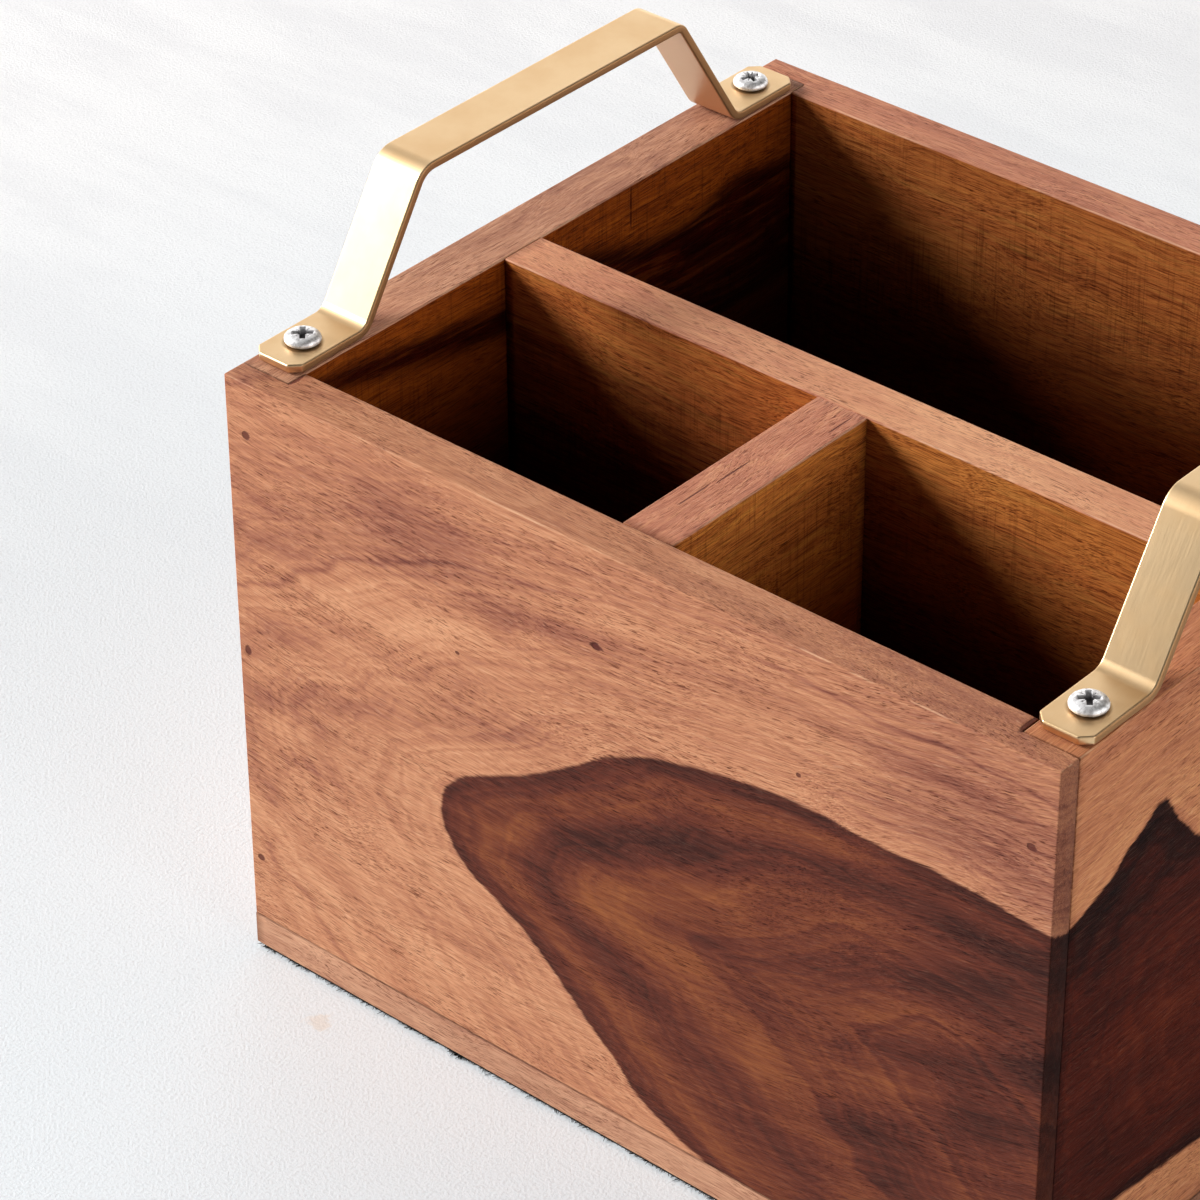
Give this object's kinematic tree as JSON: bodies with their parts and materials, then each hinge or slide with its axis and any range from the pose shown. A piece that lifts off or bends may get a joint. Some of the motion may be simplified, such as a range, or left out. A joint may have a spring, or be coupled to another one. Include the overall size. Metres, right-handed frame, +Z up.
{
  "type": "cutlery holder",
  "caption": "Open hardwood table box with bays for cutlery and napkins, a bent brass strip handle on each end and a felt lined base.",
  "frame": {"origin": "centre of the base, on the underside of the felt that the holder stands on", "axes": "+X along the front from the left end to the right end, +Y from the front to the back, +Z up"},
  "size_m": [0.215, 0.1816, 0.1841],
  "materials": {
    "side_wood": "satin oiled, with a dark heartwood figure",
    "end_wood": "satin oiled, with a dark heartwood figure",
    "divider_wood": "satin oiled",
    "bottom_wood": "satin oiled",
    "black_felt": "matte felt with loose fibres at its edge",
    "brushed_brass": "brushed satin",
    "zinc_steel": "bright zinc plated",
    "brad_steel": "plain, set below a dark wood filler"
  },
  "bodies": {
    "root": {"front_panel": "side_wood", "back_panel": "side_wood", "left_end_panel": "end_wood", "right_end_panel": "end_wood", "long_divider": "divider_wood", "short_divider": "divider_wood", "bottom_board": "bottom_wood", "base_felt": "black_felt", "left_handle": "brushed_brass", "right_handle": "brushed_brass", "left_handle_screw_front": "zinc_steel", "left_handle_screw_back": "zinc_steel", "right_handle_screw_front": "zinc_steel", "right_handle_screw_back": "zinc_steel", "front_left_corner_brad_1": "brad_steel", "front_left_corner_brad_2": "brad_steel", "front_left_corner_brad_3": "brad_steel", "front_right_corner_brad_1": "brad_steel", "front_right_corner_brad_2": "brad_steel", "front_right_corner_brad_3": "brad_steel", "back_left_corner_brad_1": "brad_steel", "back_left_corner_brad_2": "brad_steel", "back_left_corner_brad_3": "brad_steel", "back_right_corner_brad_1": "brad_steel", "back_right_corner_brad_2": "brad_steel", "back_right_corner_brad_3": "brad_steel", "front_divider_brad_1": "brad_steel", "front_divider_brad_2": "brad_steel", "front_divider_brad_3": "brad_steel", "cross_divider_brad_1": "brad_steel", "cross_divider_brad_2": "brad_steel", "cross_divider_brad_3": "brad_steel", "left_divider_brad_1": "brad_steel", "left_divider_brad_2": "brad_steel", "left_divider_brad_3": "brad_steel", "right_divider_brad_1": "brad_steel", "right_divider_brad_2": "brad_steel", "right_divider_brad_3": "brad_steel", "base_front_brad_1": "brad_steel", "base_front_brad_2": "brad_steel", "base_front_brad_3": "brad_steel", "base_front_brad_4": "brad_steel", "base_back_brad_1": "brad_steel", "base_back_brad_2": "brad_steel", "base_back_brad_3": "brad_steel", "base_back_brad_4": "brad_steel", "base_left_brad_1": "brad_steel", "base_left_brad_2": "brad_steel", "base_right_brad_1": "brad_steel", "base_right_brad_2": "brad_steel"}
  },
  "joints": []
}
